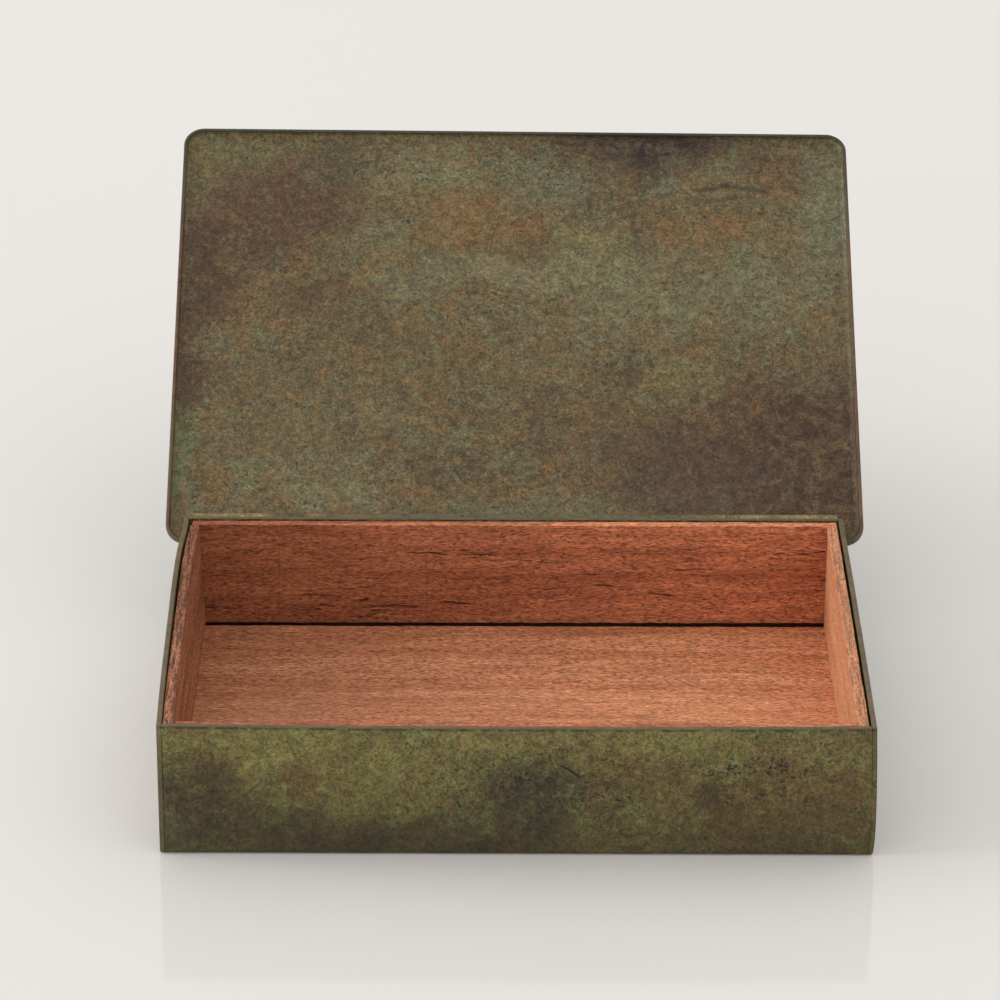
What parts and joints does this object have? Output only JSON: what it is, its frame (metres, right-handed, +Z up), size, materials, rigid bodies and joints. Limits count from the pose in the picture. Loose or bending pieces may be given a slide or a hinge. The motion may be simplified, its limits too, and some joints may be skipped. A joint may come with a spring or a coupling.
{
  "type": "hinged metal box with wooden liner",
  "caption": "Low rectangular sheet-metal box lined with thin boards, with a flat overhanging lid with a turned-down rim on a full-width barrel hinge.",
  "frame": {"origin": "centre of the case's underside, on the surface that the box stands on", "axes": "+X to the right seen from the front, +Y from the front to the hinge at the back, +Z up"},
  "size_m": [0.177, 0.2236, 0.0982],
  "materials": {
    "case_metal": "dark green-brown patina, satin, worn to copper brown along the edges",
    "lid_metal": "mottled olive, brown and grey-green patina, satin",
    "hinge_metal": "worn patina, brighter on the knuckles",
    "liner_wood": "open-grained red-brown cedar or mahogany, unvarnished",
    "floor_wood": "paler red-brown cedar or mahogany with fine rippled figure, unvarnished"
  },
  "bodies": {
    "case": {"case_tray": "case_metal", "case_side_left": "case_metal", "case_side_right": "case_metal", "case_hinge_strip": "hinge_metal", "hinge_knuckle_left": "hinge_metal", "hinge_knuckle_right": "hinge_metal", "hinge_pin": "hinge_metal", "liner_floor": "floor_wood", "liner_front": "liner_wood", "liner_back": "liner_wood", "liner_left": "liner_wood", "liner_right": "liner_wood"},
    "lid": {"lid_sheet": "lid_metal", "lid_hinge_strip": "hinge_metal", "hinge_knuckle_centre": "hinge_metal"}
  },
  "joints": [
    {"name": "lid_hinge", "type": "hinge", "parent": "case", "child": "lid", "pos_m": [0, 0.06075, 0.03025], "axis": [1, 0, 0], "range_deg": [0, 146]}
  ]
}
